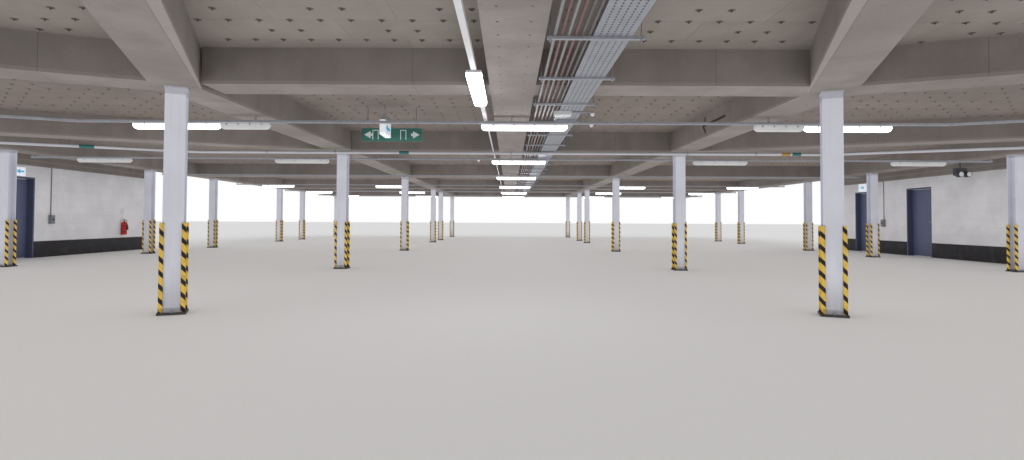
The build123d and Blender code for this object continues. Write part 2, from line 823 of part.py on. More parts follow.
pieces = {
    "inner_columns": build_columns(inner_places),
    "outer_columns": build_columns(outer_places),
    "column_plates": build_plates(),
    "corner_guards": build_guards(),
    "end_beams": build_end_beams(),
    "edge_beams": build_edge_beams(),
    "spine_beam": build_spine_beam(),
    "left_line_beam": left_line_beam,
    "right_line_beam": right_line_beam,
    "cross_beams": build_cross_beams(),
    "raked_beams": build_raked_beams(),
    "left_wall": build_wall(-1, left_wall_start, left_wall_end, [left_door_station]),
    "right_wall": build_wall(1, right_wall_start, right_wall_end, right_doors),
    "left_lintel": build_lintels(-1, [left_door_station]),
    "right_lintels": build_lintels(1, right_doors),
    "door_jambs": build_door_jambs(),
    "door_heads": build_door_heads(),
    "door_hinges": build_frame_hinges(),
    "cable_tray": build_cable_tray(),
    "service_pipes": build_service_pipes(),
    "trapeze_channels": build_trapeze_channels(),
    "trapeze_rods": build_trapeze_rods(),
    "lamp_trunking": build_lamp_trunking(),
    "trunking_hangers": build_trunking_hangers(),
    "lamp_bodies": build_lamp_bodies(),
    "lit_diffusers": build_lit_diffusers(),
    "unlit_diffusers": build_unlit_diffusers(),
    "aisle_trunking": build_aisle_trunking(),
    "cross_pipe": build_cross_pipe(),
    "pipe_clips": build_pipe_clips(),
    "sign_box": build_sign_box(),
    "sign_board": build_sign_board(),
    "wall_sign": build_wall_sign(),
    "extinguisher": build_extinguisher(),
    "wall_boxes": build_wall_boxes(),
    "twin_spot": build_twin_spot(),
}
for number in range(len(bay_lengths)):
    pieces[f"deck_slab_{number + 1}"] = build_deck_slab(number)
for name, (side, door) in zip(("left_door", "right_door_near", "right_door_far"), doors):
    pieces[name] = build_door_leaf(side, door)
    pieces[f"{name}_lever"] = build_door_lever(side, door)

for name, builder in pieces.items():
    export(builder, name)
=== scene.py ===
"""Looks of the covered car park deck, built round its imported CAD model."""
import math

import bpy
import numpy as np
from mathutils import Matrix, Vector


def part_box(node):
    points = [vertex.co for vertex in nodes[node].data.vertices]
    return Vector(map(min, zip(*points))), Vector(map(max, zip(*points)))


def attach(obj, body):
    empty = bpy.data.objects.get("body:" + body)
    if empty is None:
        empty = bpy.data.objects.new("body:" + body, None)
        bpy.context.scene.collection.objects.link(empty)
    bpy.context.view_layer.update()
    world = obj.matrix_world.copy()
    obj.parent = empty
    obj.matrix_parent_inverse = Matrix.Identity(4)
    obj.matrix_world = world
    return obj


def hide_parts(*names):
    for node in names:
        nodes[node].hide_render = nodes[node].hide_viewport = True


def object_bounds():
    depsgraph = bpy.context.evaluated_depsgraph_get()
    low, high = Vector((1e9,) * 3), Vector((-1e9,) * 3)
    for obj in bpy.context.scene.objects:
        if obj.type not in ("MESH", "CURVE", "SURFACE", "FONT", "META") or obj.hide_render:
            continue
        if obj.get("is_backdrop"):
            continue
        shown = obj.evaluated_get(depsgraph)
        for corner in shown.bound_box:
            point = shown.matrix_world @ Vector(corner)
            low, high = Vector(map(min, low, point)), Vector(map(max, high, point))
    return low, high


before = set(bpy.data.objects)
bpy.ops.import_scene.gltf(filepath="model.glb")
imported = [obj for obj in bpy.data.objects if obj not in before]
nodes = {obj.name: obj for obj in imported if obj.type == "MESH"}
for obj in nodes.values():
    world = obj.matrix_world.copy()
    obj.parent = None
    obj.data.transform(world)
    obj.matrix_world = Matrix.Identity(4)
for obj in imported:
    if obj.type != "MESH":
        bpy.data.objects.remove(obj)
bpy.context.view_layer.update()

seeded = np.random.default_rng(41)

# Places shared with the CAD model, in metres. Y is the station along the hall less half its length.
half_length = 18.75
beam_half = 0.25
soffit_z = 2.9
beam_z = 2.5
line_x = 3.6
edge_x = 10.8
wall_face_x = 12.5
row_stations = (0.0, 8.6, 14.4, 21.6, 28.8, 31.7, 37.5)
row_y = [station - half_length for station in row_stations]
mean_turn = math.radians(23.0)


# Mesh helpers


def volume(points, faces):
    """Signed volume inside a closed set of faces. It is above 0 where they face outwards."""
    points = points - points.mean(0)
    corners = ((face[0], a, b) for face in faces for a, b in zip(face[1:], face[2:]))
    return sum(points[first] @ np.cross(points[a], points[b]) for first, a, b in corners)


class Shape:
    """Collects points and faces in metres, and becomes one joined mesh."""

    def __init__(self):
        self.points, self.faces, self.tones, self.marks, self.count = [], [], [], [], 0

    def add(self, points, faces, tone=0.5, marks=None):
        points = np.asarray(points, float).reshape(-1, 3)
        self.marks += [0.0] * len(points) if marks is None else list(marks)
        self.faces += [[corner + self.count for corner in face] for face in faces]
        self.tones += [tone] * len(faces)
        self.points.append(points)
        self.count += len(points)
        return self

    def box(self, low, high, tone=0.5):
        """A box from corner to corner."""
        (x0, y0, z0), (x1, y1, z1) = low, high
        points = [(x, y, z) for z in (z0, z1) for x, y in ((x0, y0), (x1, y0), (x1, y1), (x0, y1))]
        faces = [(3, 2, 1, 0), (4, 5, 6, 7), (0, 1, 5, 4), (1, 2, 6, 5), (2, 3, 7, 6), (3, 0, 4, 7)]
        return self.add(points, faces, tone)

    def loft(self, rings, tone=0.5, marks=None):
        """Skins rings of the same number of points and closes the ends. marks go to each ring's points."""
        rings = np.asarray(rings, float)
        steps, size = rings.shape[:2]
        pairs = [(s * size + k, s * size + (k + 1) % size) for s in range(steps - 1) for k in range(size)]
        faces = [(a, b, b + size, a + size) for a, b in pairs]
        faces += [tuple(range(size))[::-1], tuple(range((steps - 1) * size, steps * size))]
        if volume(rings.reshape(-1, 3), faces) < 0:
            faces = [face[::-1] for face in faces]
        return self.add(rings.reshape(-1, 3), faces, tone, marks if marks is None else list(marks) * steps)

    def tube(self, path, radius, sides=12, tone=0.5):
        """A round tube along a path of points."""
        path = np.asarray(path, float)
        ways = np.diff(path, axis=0)
        ways /= np.linalg.norm(ways, axis=1)[:, None]
        turns = np.concatenate([ways[:1], (ways[1:] + ways[:-1]) / 2, ways[-1:]])
        angles = np.arange(sides) * 2 * math.pi / sides
        rings = []
        for point, way in zip(path, turns):
            way = way / np.linalg.norm(way)
            first = np.cross(way, (0.0, 0.0, 1.0) if abs(way[2]) < 0.9 else (1.0, 0.0, 0.0))
            first /= np.linalg.norm(first)
            second = np.cross(way, first)
            ring = np.outer(np.cos(angles), first) - np.outer(np.sin(angles), second)
            rings.append(point + radius * ring)
        return self.loft(rings, tone=tone)

    def turned(self, profile, centre=(0, 0, 0), axis="z", sides=16, tone=0.5):
        """A round body: profile holds (radius, height) pairs along the axis."""
        angles = np.arange(sides) * 2 * math.pi / sides
        circle = np.stack([np.cos(angles), np.sin(angles), np.zeros(sides)], 1)
        rings = [circle * radius + (0, 0, height) for radius, height in profile]
        order = {"z": (0, 1, 2), "x": (2, 0, 1), "y": (1, 2, 0)}[axis]
        return self.loft([ring[:, order] + centre for ring in rings], tone=tone)

    def copies(self, pattern, places, turns=None):
        """Adds another shape at many places, each turned about Z by its angle."""
        points = np.concatenate(pattern.points)
        turns = np.zeros(len(places)) if turns is None else turns
        for place, angle in zip(places, turns):
            cosine, sine = math.cos(angle), math.sin(angle)
            spin = np.array([(cosine, sine, 0), (-sine, cosine, 0), (0, 0, 1)])
            self.points.append(points @ spin + np.asarray(place))
        size = len(points)
        for copy in range(len(places)):
            first = self.count + copy * size
            self.faces += [[corner + first for corner in face] for face in pattern.faces]
            self.tones += pattern.tones
            self.marks += pattern.marks
        self.count += size * len(places)
        return self

    def make(self, name, finish, slot, body="structure", smooth=False):
        """Makes the object, gives it its finish and lets it ride on its body."""
        mesh = bpy.data.meshes.new(name)
        mesh.from_pydata(np.concatenate(self.points).tolist(), [], self.faces)
        mesh.attributes.new("tone", "FLOAT", "FACE").data.foreach_set("value", self.tones)
        if any(self.marks):
            mesh.attributes.new("mark", "FLOAT", "POINT").data.foreach_set("value", self.marks)
        mesh.materials.append(finish.material)
        if smooth:
            mesh.shade_smooth()
            mesh.set_sharp_from_angle(angle=math.radians(40))
        piece = bpy.data.objects.new(name, mesh)
        bpy.context.scene.collection.objects.link(piece)
        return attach(piece, body)


def solids(name):
    """Lowest and highest corner of each separate solid of a CAD node."""
    mesh = nodes[name].data
    points = np.array([vertex.co for vertex in mesh.vertices])
    places, index = np.unique(np.round(points, 5), axis=0, return_inverse=True)
    index = index.ravel()
    root = list(range(len(places)))

    def find(item):
        while root[item] != item:
            root[item] = root[root[item]]
            item = root[item]
        return item

    for edge in mesh.edges:
        a, b = (find(index[corner]) for corner in edge.vertices)
        root[a] = b
    groups = {}
    for item in range(len(places)):
        groups.setdefault(find(item), []).append(item)
    boxes = [(places[group].min(0), places[group].max(0)) for group in groups.values()]
    return sorted(boxes, key=lambda box: tuple(np.round(box[0], 3)))


# The two columns of the first row stand turned with the front beams.
turned_columns = [(low + high) / 2 for low, high in solids("inner_columns") if high[0] - low[0] > 0.22]
knee = {int(math.copysign(1, centre[0])): centre[:2] for centre in turned_columns}
turn = {side: math.atan2(side * place[0], place[1] + half_length) for side, place in knee.items()}


def column_places():
    """Middle and turn about Z of each column."""
    places = []
    for node in ("inner_columns", "outer_columns"):
        for low, high in solids(node):
            x, y = (low[:2] + high[:2]) / 2
            side = 1 if x > 0 else -1
            places.append((x, y, -side * turn[side] if high[0] - low[0] > 0.22 else 0.0))
    return places


# Material helpers


def srgb(red, green, blue):
    """A colour as it looks on screen, from 0 to 255, as the linear values that shaders take."""
    return tuple(((value / 255 + 0.055) / 1.055) ** 2.4 for value in (red, green, blue))


class Finish:
    """One material. Each short call adds a node and returns its output."""

    def __init__(self, name, colour, roughness=0.6, metallic=0.0, **sockets):
        self.material = bpy.data.materials.new(name)
        self.material.use_nodes = True
        self.material.diffuse_color = (*colour, 1)
        self.tree = self.material.node_tree
        self.shader = self.tree.nodes["Principled BSDF"]
        self.set(**{"Base Color": (*colour, 1), "Roughness": roughness, "Metallic": metallic, **sockets})
        self.place = self.node("ShaderNodeTexCoord").outputs["Object"]
        self.x, self.y, self.z = self.node("ShaderNodeSeparateXYZ", {"Vector": self.place}).outputs

    def set(self, **sockets):
        for name, value in sockets.items():
            self.put(self.shader.inputs[name], value)
        return self

    def put(self, socket, value):
        if isinstance(value, bpy.types.NodeSocket):
            self.tree.links.new(value, socket)
        elif isinstance(value, tuple) and len(value) == 3 and len(socket.default_value) == 4:
            socket.default_value = (*value, 1)
        else:
            socket.default_value = value

    def node(self, kind, sockets=None, **settings):
        made = self.tree.nodes.new(kind)
        for name, value in settings.items():
            setattr(made, name, value)
        for name, value in (sockets or {}).items():
            self.put(made.inputs[name], value)
        return made

    def math(self, operation, first, second=0.0):
        made = self.node("ShaderNodeMath", operation=operation)
        for socket, value in zip(made.inputs, (first, second)):
            self.put(socket, value)
        return made.outputs[0]

    def stretched(self, scale):
        made = self.node("ShaderNodeVectorMath", operation="MULTIPLY")
        self.put(made.inputs[0], self.place)
        self.put(made.inputs[1], scale)
        return made.outputs[0]

    def noise(self, scale, detail=3.0, stretch=None):
        """Soft noise about 0.5. scale is in waves for each metre."""
        place = self.stretched(stretch) if stretch else self.place
        made = self.node("ShaderNodeTexNoise", {"Vector": place, "Scale": scale, "Detail": detail})
        return made.outputs[0]

    def ramp(self, value, low, high, start=0.0, end=1.0):
        """start below low, end above high, and an even rise between."""
        return self.node("ShaderNodeMapRange", {"Value": value, "From Min": low, "From Max": high,
                                                "To Min": start, "To Max": end}).outputs[0]

    def mix(self, share, first, second, blend="MIX"):
        made = self.node("ShaderNodeMix", data_type="RGBA", blend_type=blend)
        for socket, value in zip((made.inputs[0], made.inputs[6], made.inputs[7]), (share, first, second)):
            self.put(socket, value)
        return made.outputs[2]

    def line(self, along, pitch, width, start=0.0):
        """1 on thin lines across a run, every pitch from start, and 0 between them."""
        shifted = self.math("ADD", along, pitch / 2 - start)
        cell = self.math("FLOORED_MODULO", shifted, pitch)
        off = self.math("ABSOLUTE", self.math("SUBTRACT", cell, pitch / 2))
        return self.ramp(off, width * 0.35, width * 0.65, 1.0, 0.0)

    def attribute(self, name):
        return self.node("ShaderNodeAttribute", attribute_name=name).outputs["Fac"]

    def bump(self, height, distance, strength=1.0):
        made = self.node("ShaderNodeBump", {"Height": height, "Distance": distance, "Strength": strength})
        return self.set(Normal=made.outputs["Normal"])


def tint(colour, share):
    """The colour made lighter, above 1, or darker, below 1."""
    return tuple(min(1.0, value * share) for value in colour)


def concrete(name, colour, mottle=0.2, rough=0.85):
    """Bare concrete: cloudy patches, fine specks and pores."""
    made = Finish(name, colour, rough)
    clouds = made.ramp(made.noise(0.55, 5.0), 0.3, 0.7)
    patches = made.ramp(made.noise(3.4, 6.0), 0.32, 0.72)
    stains = made.ramp(made.noise(1.0, 5.0, stretch=(3.0, 3.0, 0.5)), 0.48, 0.72, 0.0, 0.45)
    smears = made.ramp(made.noise(1.6, 7.0, stretch=(1.0, 0.4, 1.0)), 0.52, 0.78, 0.0, 0.5)
    made.specks = made.noise(95.0, 2.0)
    tone = made.mix(clouds, tint(colour, 1 - mottle), tint(colour, 1 + mottle))
    tone = made.mix(made.math("MULTIPLY", patches, 0.5), tone, tint(colour, 0.76))
    tone = made.mix(smears, tone, tint(colour, 1.22))
    tone = made.mix(stains, tone, tuple(value * share for value, share in zip(colour, (0.72, 0.66, 0.60))))
    made.tone = made.mix(made.ramp(made.specks, 0.56, 0.72, 0.0, 0.35), tone, tint(colour, 0.5))
    return made.set(**{"Base Color": made.tone})


def boarded(name, colour):
    """Soffit boards, each with a slightly different tone."""
    made = concrete(name, colour, 0.10)
    shade = made.mix(made.attribute("tone"), tint(colour, 0.72), colour)
    made.set(**{"Base Color": made.mix(0.35, made.tone, shade)})
    return made.bump(made.specks, 0.001, 0.5)


def cased(name, colour, along, start=0.0):
    """Beam casing: concrete boards, joints every pitch along the beam, painted highlight low on its faces.
    along gives the distance.
    """
    made = concrete(name, colour)
    distance = along(made)
    joints = made.line(distance, joint_pitch, joint_width, start)
    board = made.math("FLOOR", made.math("DIVIDE", made.math("SUBTRACT", distance, start), joint_pitch))
    shade = made.node("ShaderNodeTexWhiteNoise", {"W": board}, noise_dimensions="1D").outputs["Value"]
    tone = made.mix(made.math("MULTIPLY", shade, 0.12), made.tone, tint(colour, 0.6))
    # Painted highlight: the lowest few centimetres of each face, just above the soffit level, are lighter,
    # as if lit along that edge.
    above = made.math("SUBTRACT", made.z, beam_z)
    rise, fall = made.ramp(above, 0.001, 0.003, 0.0, 0.5), made.ramp(above, 0.030, 0.040, 1.0, 0.0)
    tone = made.mix(made.math("MULTIPLY", rise, fall), tone, tint(colour, 1.3))
    made.tone = made.mix(made.math("MULTIPLY", joints, 0.4), tone, tint(colour, 0.25))
    made.set(**{"Base Color": made.tone})
    return made.bump(made.math("SUBTRACT", made.math("MULTIPLY", made.specks, 0.25), joints), 0.002, 0.6)


def run(x_share, y_share):
    """Distance along a level direction that the two sides of the hall mirror."""
    def distance(made):
        across = made.math("MULTIPLY", made.math("ABSOLUTE", made.x), x_share)
        return made.math("ADD", across, made.math("MULTIPLY", made.y, y_share))
    return distance


def bent_run(side):
    """Distance along a line beam: straight down the hall behind the first row, slanted in front of it."""
    def distance(made):
        slanted = run(math.sin(turn[side]), math.cos(turn[side]))(made)
        in_front = made.math("LESS_THAN", made.y, knee[side][1])
        choice = {0: in_front, 2: run(0.0, 1.0)(made), 3: slanted}
        return made.node("ShaderNodeMix", choice, data_type="FLOAT").outputs[0]
    return distance


def bent_beam(name, side):
    """Line beam casing, with a painted highlight: a pale strip that edges its soffit and narrows towards the
    knee, with a dark line along its inner side.
    """
    made = cased(name, beam_colour, bent_run(side), front_joint)
    knee_y = knee[side][1]
    off = run(math.cos(turn[side]), -math.sin(turn[side]))(made)
    inner = made.math("ADD", off, beam_half - half_length * math.sin(turn[side]))
    width = made.ramp(made.y, highlight_wide_y, knee_y, *highlight_widths)
    below, in_front = made.math("LESS_THAN", made.z, beam_z + 0.001), made.math("LESS_THAN", made.y, knee_y)
    shown = made.math("MULTIPLY", below, in_front)
    past = made.math("SUBTRACT", inner, width)
    # Painted highlight along the inner edge of the soffit, as if light caught that edge.
    painted_highlight = made.math("MULTIPLY", made.ramp(past, -0.003, 0.0, 0.55, 0.0), shown)
    groove = made.math("MULTIPLY", made.ramp(made.math("ABSOLUTE", past), 0.002, 0.005, 0.45, 0.0), shown)
    tone = made.mix(painted_highlight, made.tone, tint(beam_colour, 1.35))
    return made.set(**{"Base Color": made.mix(groove, tone, tint(beam_colour, 0.3))})


def painted(name, colour, roughness=0.45, wear=0.08, scale=2.2):
    """Paint on metal or plaster: slow change of tone, and faint orange peel."""
    made = Finish(name, colour, roughness)
    clouds = made.ramp(made.noise(scale, 4.0), 0.3, 0.7)
    made.tone = made.mix(clouds, tint(colour, 1 - wear), tint(colour, 1 + wear / 2))
    gloss = made.ramp(made.noise(30.0), 0.3, 0.7, roughness - 0.06, roughness + 0.08)
    made.set(**{"Base Color": made.tone, "Roughness": gloss})
    return made.bump(made.noise(420.0, 1.0), 0.0004, 0.25)


def column_finish():
    """Satin paint, grimy towards the foot."""
    colour = srgb(214, 216, 228)
    made = painted("column_paint", colour, 0.38)
    streaks = made.noise(4.0, 4.0, stretch=(6.0, 6.0, 0.35))
    foot = made.ramp(made.math("ADD", made.z, made.math("MULTIPLY", streaks, 0.5)), 0.2, 0.75, 0.45, 0.0)
    tone = made.mix(foot, made.tone, (0.18, 0.165, 0.15))
    tone = made.mix(made.ramp(streaks, 0.55, 0.8, 0.0, 0.18), tone, (0.33, 0.33, 0.34))
    return made.set(**{"Base Color": tone})


def plate_finish():
    """Dark plates at the foot. Those at the head are painted as the columns are."""
    made = painted("plate_paint", srgb(70, 70, 74), 0.6, 0.3, 14.0)
    at_head = made.math("GREATER_THAN", made.z, 0.2)
    return made.set(**{"Base Color": made.mix(at_head, made.tone, srgb(196, 197, 206))})


def guard_finish():
    """Foam guards: black and yellow bands that wind round them and fall to the right."""
    made = Finish("guard_foam", srgb(222, 186, 76), 0.7)
    fall = made.math("ADD", made.z, made.attribute("mark"))
    phase = made.math("FRACT", made.math("DIVIDE", fall, stripe_pitch))
    black = made.math("MULTIPLY", made.ramp(phase, 0.0, 0.015), made.ramp(phase, 0.40, 0.415, 1.0, 0.0))
    scuffs = made.ramp(made.noise(16.0, 5.0), 0.5, 0.75, 0.0, 0.5)
    yellow = made.mix(scuffs, srgb(224, 188, 78), srgb(132, 108, 60))
    made.set(**{"Base Color": made.mix(black, yellow, srgb(38, 28, 26))})
    return made.bump(made.noise(260.0, 2.0), 0.0008, 0.4)


def wall_finish():
    """Painted blockwork with a dark band along its foot."""
    made = painted("wall_paint", srgb(222, 222, 226), 0.6)
    course = made.line(made.z, block_height, 0.010)
    odd = made.math("FLOORED_MODULO", made.math("FLOOR", made.math("DIVIDE", made.z, block_height)), 2.0)
    shifted = made.math("ADD", made.y, made.math("MULTIPLY", odd, block_length / 2))
    joints = made.math("MAXIMUM", course, made.line(shifted, block_length, 0.010))
    grime = made.ramp(made.noise(1.2, 6.0), 0.45, 0.8, 0.0, 0.3)
    tone = made.mix(grime, made.tone, srgb(176, 172, 168))
    tone = made.mix(made.math("MULTIPLY", joints, 0.14), tone, srgb(150, 148, 146))
    band = made.math("LESS_THAN", made.z, skirting_top)
    scuffed = made.mix(made.ramp(made.noise(7.0, 6.0), 0.5, 0.8), srgb(36, 35, 40), srgb(62, 60, 62))
    made.set(**{"Base Color": made.mix(band, tone, scuffed)})
    return made.bump(made.math("SUBTRACT", made.math("MULTIPLY", made.noise(60.0), 0.4), joints), 0.002, 0.5)


def metal(name, colour, roughness=0.42, spangle=0.12, metallic=0.85):
    """Galvanised or brushed steel. Weathered zinc is less metallic."""
    made = Finish(name, colour, roughness, metallic)
    cells = made.node("ShaderNodeTexVoronoi", {"Vector": made.place, "Scale": 55.0}).outputs["Color"]
    grey = made.node("ShaderNodeSeparateColor", {"Color": cells}).outputs[0]
    tone = made.mix(grey, tint(colour, 1 - spangle), tint(colour, 1 + spangle))
    dull = made.ramp(made.noise(5.0, 5.0), 0.45, 0.75, 0.0, 0.35)
    made.tone = made.mix(dull, tone, tint(colour, 0.7))
    return made.set(**{"Base Color": made.tone,
                       "Roughness": made.ramp(grey, 0.0, 1.0, roughness - 0.08, roughness + 0.1)})


def pipe_finish():
    """Pipes side by side, each with its own paint, set darker than the paint itself as painted shade."""
    made = Finish("service_pipes", srgb(150, 140, 140), 0.4)
    lane = made.math("FLOOR", made.math("DIVIDE", made.math("SUBTRACT", made.x, first_lane), lane_pitch))
    odd = made.math("FLOORED_MODULO", lane, 2.0)
    # The lane colours are darkened as painted shade, for the shadow the pipes hang in.
    tone = made.mix(odd, srgb(134, 130, 132), srgb(108, 74, 74))
    tone = made.mix(made.math("GREATER_THAN", lane, 3.5), tone, srgb(92, 86, 86))
    dust = made.ramp(made.noise(9.0, 4.0), 0.45, 0.75, 0.0, 0.4)
    return made.set(**{"Base Color": made.mix(dust, tone, srgb(120, 114, 110))})


def tray_finish():
    """Galvanised sheet with rows of slots along it, painted dark as painted shade where the holes would be.
    """
    made = metal("tray_sheet", srgb(158, 162, 170), 0.45, 0.12, 0.5)
    across = made.line(made.x, slot_rows, 0.011, tray_middle)
    cell = made.math("FLOORED_MODULO", made.y, slot_pitch)
    off = made.math("ABSOLUTE", made.math("SUBTRACT", cell, slot_pitch / 2))
    # The slots are not cut: their dark is painted shade, standing in for holes.
    dark = made.math("MULTIPLY", across, made.ramp(off, 0.012, 0.014, 1.0, 0.0))
    inside = made.math("LESS_THAN", made.math("ABSOLUTE", made.math("SUBTRACT", made.x, tray_middle)), 0.13)
    slots = made.math("MULTIPLY", dark, inside)
    return made.set(**{"Base Color": made.mix(slots, made.tone, srgb(40, 40, 42))})


def board_finish():
    """Green sign board. Its rods above are bare steel."""
    made = painted("sign_green", srgb(52, 112, 100), 0.35)
    above = made.math("GREATER_THAN", made.z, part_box("sign_board")[0].z + sign_board_height + 0.001)
    return made.set(**{"Base Color": made.mix(above, made.tone, srgb(120, 122, 126))})


def sign_finish():
    """White sign box that glows a little. The gear tray and rod above it are plain grey."""
    made = painted("sign_white", srgb(232, 238, 244), 0.35, 0.03)
    above = made.math("GREATER_THAN", made.z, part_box("sign_box")[0].z + sign_box_height + 0.001)
    glow = made.math("MULTIPLY", made.math("SUBTRACT", 1.0, above), 0.35)
    tone = made.mix(above, made.tone, srgb(150, 152, 156))
    return made.set(**{"Base Color": tone, "Emission Strength": glow, "Emission Color": srgb(238, 243, 248)})


def glowing(name, colour, strength):
    """A lit surface with fine ribs."""
    made = Finish(name, colour, 0.35)
    made.set(**{"Emission Color": colour, "Emission Strength": strength})
    return made.bump(made.noise(300.0, 1.0), 0.0003, 0.2)


# Dressing the CAD nodes

tray_low, tray_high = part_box("cable_tray")
tray_middle = (tray_low.x + tray_high.x) / 2
slot_rows, slot_pitch = 0.05, 0.05
lane_pitch = 0.052
first_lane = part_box("service_pipes")[0].x + 0.0125 - lane_pitch / 2
sign_board_height = 0.215
sign_box_height = 0.23
joint_pitch = 3.27
joint_width = 0.007
cross_joint, front_joint, raked_joint = -1.08, -9.30, 8.6
# Where the painted highlight on the line beams' soffits starts to narrow, and its widths there and at the
# knee.
highlight_wide_y, highlight_widths = 5.9 - half_length, (0.10, 0.025)
stripe_pitch = 0.148
block_length, block_height = 0.45, 0.225
skirting_top = 0.43
beam_colour = srgb(140, 133, 129)
raked_run = run(math.cos(mean_turn), -math.sin(mean_turn))

finishes = {
    "slab": concrete("slab_concrete", srgb(142, 137, 132)),
    "boards": boarded("soffit_boards", srgb(144, 137, 131)),
    "brown_boards": boarded("brown_boards", srgb(130, 120, 114)),
    "beam_x": cased("beam_concrete_x", beam_colour, lambda made: made.x, cross_joint),
    "beam_y": cased("beam_concrete_y", beam_colour, run(0.0, 1.0)),
    "beam_raked": cased("beam_concrete_raked", beam_colour, raked_run, raked_joint),
    "beam_left": bent_beam("beam_concrete_left", -1),
    "beam_right": bent_beam("beam_concrete_right", 1),
    "column": column_finish(),
    "plate": plate_finish(),
    "guard": guard_finish(),
    "wall": wall_finish(),
    "door": painted("door_paint", srgb(88, 95, 125), 0.42, 0.06),
    "frame": painted("frame_paint", srgb(78, 84, 108), 0.42, 0.06),
    "steel": metal("lever_steel", srgb(196, 197, 200), 0.3, 0.04),
    "zinc": metal("galvanised", srgb(164, 167, 175), 0.5, 0.12, 0.4),
    "pipes": pipe_finish(),
    "cross_pipe": painted("pipe_paint", srgb(190, 192, 198), 0.35),
    "trunking": painted("trunking_white", srgb(214, 214, 216), 0.4),
    "lamp": painted("lamp_body", srgb(196, 198, 202), 0.4),
    "lit": glowing("diffuser_lit", (0.97, 0.98, 1.0), 6.0),
    "unlit": painted("diffuser_off", srgb(212, 213, 214), 0.3),
    "tray": tray_finish(),
    "green": board_finish(),
    "sign": sign_finish(),
    "cyan": glowing("sign_cyan", srgb(92, 186, 222), 0.25),
    "white": painted("sign_mark", srgb(226, 232, 230), 0.4),
    "mark": painted("painted_mark", srgb(66, 48, 42), 0.7, 0.3, 9.0),
    "teal": painted("band_teal", srgb(38, 112, 112), 0.4),
    "ochre": painted("band_ochre", srgb(176, 134, 66), 0.4),
    "cable": painted("cable_sheath", srgb(52, 52, 56), 0.5, 0.3, 20.0),
    "black": painted("black_plastic", srgb(34, 34, 36), 0.4, 0.2, 20.0),
    "glass": painted("spot_lens", srgb(206, 210, 214), 0.12, 0.2, 40.0),
    "sheet": painted("plate_sheet", srgb(206, 204, 204), 0.4, 0.06, 9.0),
    "dark": painted("spot_body", srgb(62, 63, 68), 0.45, 0.2, 9.0),
    "pale_fixing": painted("pale_fixing", srgb(110, 101, 95), 0.6, 0.2, 30.0),
    "red": painted("extinguisher_red", srgb(190, 26, 24), 0.25),
    "grey": painted("box_grey", srgb(120, 124, 130), 0.45),
    "fixing": painted("fixing_steel", srgb(92, 80, 73), 0.55, 0.3, 30.0),
}

dress = {
    "inner_columns": "column", "outer_columns": "column", "column_plates": "plate",
    "corner_guards": "guard", "end_beams": "beam_x", "edge_beams": "beam_y", "spine_beam": "beam_y",
    "left_line_beam": "beam_left", "right_line_beam": "beam_right", "cross_beams": "beam_x",
    "raked_beams": "beam_raked", "left_wall": "wall", "right_wall": "wall", "left_lintel": "wall",
    "right_lintels": "wall", "door_jambs": "frame", "door_heads": "frame", "cable_tray": "tray",
    "service_pipes": "pipes", "trapeze_channels": "zinc", "trapeze_rods": "zinc", "lamp_trunking": "zinc",
    "trunking_hangers": "zinc", "lamp_bodies": "lamp", "lit_diffusers": "lit", "unlit_diffusers": "unlit",
    "aisle_trunking": "trunking", "cross_pipe": "cross_pipe", "sign_box": "sign", "sign_board": "green",
    "wall_sign": "sign", "extinguisher": "red", "wall_boxes": "grey", "twin_spot": "dark",
    "door_hinges": "steel", "pipe_clips": "zinc",
}
for name in nodes:
    if name.startswith("deck_slab"):
        dress[name] = "slab"
    elif name.endswith("_lever"):
        dress[name] = "steel"
    elif "_door" in name:
        dress[name] = "door"
for name, finish in dress.items():
    nodes[name].data.materials.clear()
    nodes[name].data.materials.append(finishes[finish].material)

# Soffit boards and their fixings

board_length, board_depth, board_gap, board_thick = 1.14, 0.57, 0.002, 0.004
board_y0 = 7.50 - half_length
board_x0 = 0.06
board_ends = 13
fixing_pitch = 0.285
fixing_ends = 45
fixing_room, edge_room = 0.04, 0.05

beam_runs = [((0, row_y[0]), (0, row_y[-1]))]
for side in (-1, 1):
    beam_runs += [((side * edge_x, row_y[0]), (side * edge_x, row_y[-1])),
                  (tuple(knee[side]), (side * line_x, row_y[2])),
                  ((side * line_x, row_y[2]), (side * line_x, row_y[-1])),
                  (tuple(knee[side]), (0, row_y[0]))]
    for x, y in (knee[side], (side * line_x, row_y[2])):
        drop = (edge_x - abs(x)) * math.tan(turn[side])
        beam_runs.append(((x, y), (side * edge_x, y - drop)))
    for y in row_y[3:6]:
        beam_runs.append(((side * line_x, y), (side * edge_x, y)))
for y in row_y[1:6]:
    beam_runs.append(((-line_x, y), (line_x, y)))
for y in (row_y[0], row_y[-1]):
    beam_runs.append(((-edge_x, y), (edge_x, y)))


def clear_of_beams(places, room):
    """True for each place that is at least room away from the middle line of every beam."""
    free = np.ones(len(places), bool)
    for start, end in beam_runs:
        start, end = np.array(start), np.array(end)
        span = end - start
        share = np.clip((places - start) @ span / (span @ span), 0, 1)
        free &= np.hypot(*(places - start - share[:, None] * span).T) > room
    return free


fixing = Shape()
fixing.turned([(0.033, 0.0), (0.031, -0.003), (0.008, -0.0045), (0.0065, -0.018)], sides=9)

